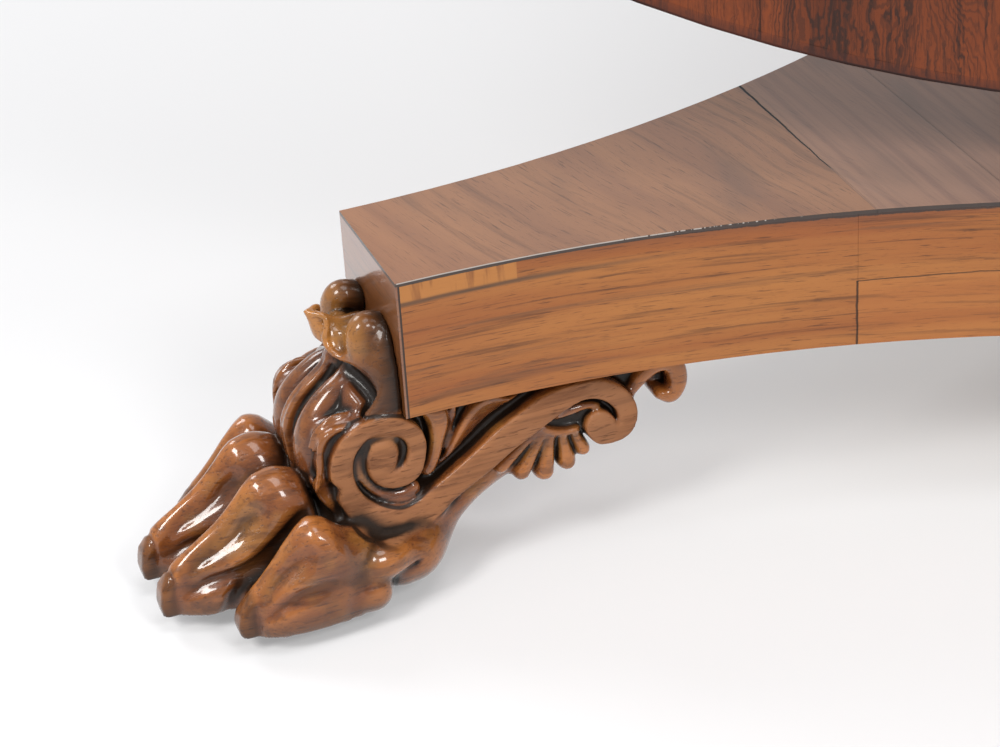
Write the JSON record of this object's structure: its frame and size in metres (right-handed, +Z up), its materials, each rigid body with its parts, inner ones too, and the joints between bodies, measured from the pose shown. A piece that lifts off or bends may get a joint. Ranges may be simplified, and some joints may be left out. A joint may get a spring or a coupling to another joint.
{
  "type": "breakfast table",
  "caption": "Round tilt-top breakfast table on a turned column and three-armed platform, with carved paw feet, scroll brackets and sunk castors.",
  "frame": {"origin": "on the floor, on the axis of the column", "axes": "+Z up; the arms point to 210, 330 and 90 degrees from +X; at rest the top stands tipped up with its show face towards -Y"},
  "size_m": [1.19, 0.7232, 1.3645],
  "materials": {
    "rosewood_top": "polished, straight black grain",
    "rosewood_edge": "polished, dark",
    "rosewood_platform": "polished, greyish brown",
    "rosewood_side": "polished, warm orange brown",
    "rosewood_carved": "shellac over dark recesses",
    "rosewood_turned": "polished",
    "mahogany": "waxed",
    "pine": "bare, aged",
    "brass": "aged",
    "iron": "dull"
  },
  "bodies": {
    "base": {"platform_centre": "pine", "platform_arm_1": "pine", "platform_arm_2": "pine", "platform_arm_3": "pine", "platform_dowels": "pine", "centre_top_veneer": "rosewood_platform", "inner_top_veneers": "rosewood_platform", "arm_top_veneers": "rosewood_platform", "side_veneer_1": "rosewood_side", "side_veneer_2": "rosewood_side", "side_veneer_3": "rosewood_side", "end_veneers": "rosewood_side", "foot_1": "rosewood_carved", "foot_2": "rosewood_carved", "foot_3": "rosewood_carved", "foot_screws": "iron", "castor_sockets": "brass", "castor_plate_screws": "brass", "column_base_ring": "rosewood_turned", "column_shaft": "rosewood_turned", "column_wedge": "mahogany", "column_cap": "rosewood_turned", "tilt_block": "mahogany", "pivot_pins": "brass", "catch_keepers": "brass", "keeper_screws": "brass"},
    "top": {"top_plank_1": "pine", "top_plank_2": "pine", "top_plank_3": "pine", "top_plank_4": "pine", "top_veneer_left": "rosewood_top", "top_veneer_centre": "rosewood_top", "top_veneer_right": "rosewood_top", "rim_mouldings": "rosewood_edge", "frieze_front": "pine", "frieze_back": "pine", "frieze_left": "pine", "frieze_right": "pine", "frieze_veneer": "rosewood_side", "frieze_beads": "rosewood_edge", "bearer_left": "mahogany", "bearer_right": "mahogany", "bearer_screws": "iron", "catch_case_left": "brass", "catch_case_right": "brass", "catch_screws": "brass"},
    "castor_1": {"castor_horn_1": "brass", "castor_axle_1": "iron"},
    "wheel_1": {"castor_wheel_1": "brass"},
    "castor_2": {"castor_horn_2": "brass", "castor_axle_2": "iron"},
    "wheel_2": {"castor_wheel_2": "brass"},
    "castor_3": {"castor_horn_3": "brass", "castor_axle_3": "iron"},
    "wheel_3": {"castor_wheel_3": "brass"},
    "bolt_left": {"catch_bolt_left": "brass"},
    "bolt_right": {"catch_bolt_right": "brass"}
  },
  "joints": [
    {"name": "tilt", "type": "hinge", "parent": "base", "child": "top", "pos_m": [0, -0.0805, 0.689], "axis": [-1, 0, 0], "range_deg": [0, 90]},
    {"name": "castor_1_swivel", "type": "hinge", "parent": "base", "child": "castor_1", "pos_m": [-0.33862, -0.1955, 0.03], "axis": [0, 0, 1], "continuous": true},
    {"name": "wheel_1_roll", "type": "hinge", "parent": "castor_1", "child": "wheel_1", "pos_m": [-0.34554, -0.1995, 0.011], "axis": [0.5, -0.866, 0], "continuous": true},
    {"name": "castor_2_swivel", "type": "hinge", "parent": "base", "child": "castor_2", "pos_m": [0.33862, -0.1955, 0.03], "axis": [0, 0, 1], "continuous": true},
    {"name": "wheel_2_roll", "type": "hinge", "parent": "castor_2", "child": "wheel_2", "pos_m": [0.34554, -0.1995, 0.011], "axis": [0.5, 0.866, 0], "continuous": true},
    {"name": "castor_3_swivel", "type": "hinge", "parent": "base", "child": "castor_3", "pos_m": [0, 0.391, 0.03], "axis": [0, 0, 1], "continuous": true},
    {"name": "wheel_3_roll", "type": "hinge", "parent": "castor_3", "child": "wheel_3", "pos_m": [0, 0.399, 0.011], "axis": [-1, 0, 0], "continuous": true},
    {"name": "bolt_left_slide", "type": "slide", "parent": "top", "child": "bolt_left", "axis": [0, 0, -1], "range_m": [0, 0.012]},
    {"name": "bolt_right_slide", "type": "slide", "parent": "top", "child": "bolt_right", "axis": [0, 0, -1], "range_m": [0, 0.012]}
  ]
}
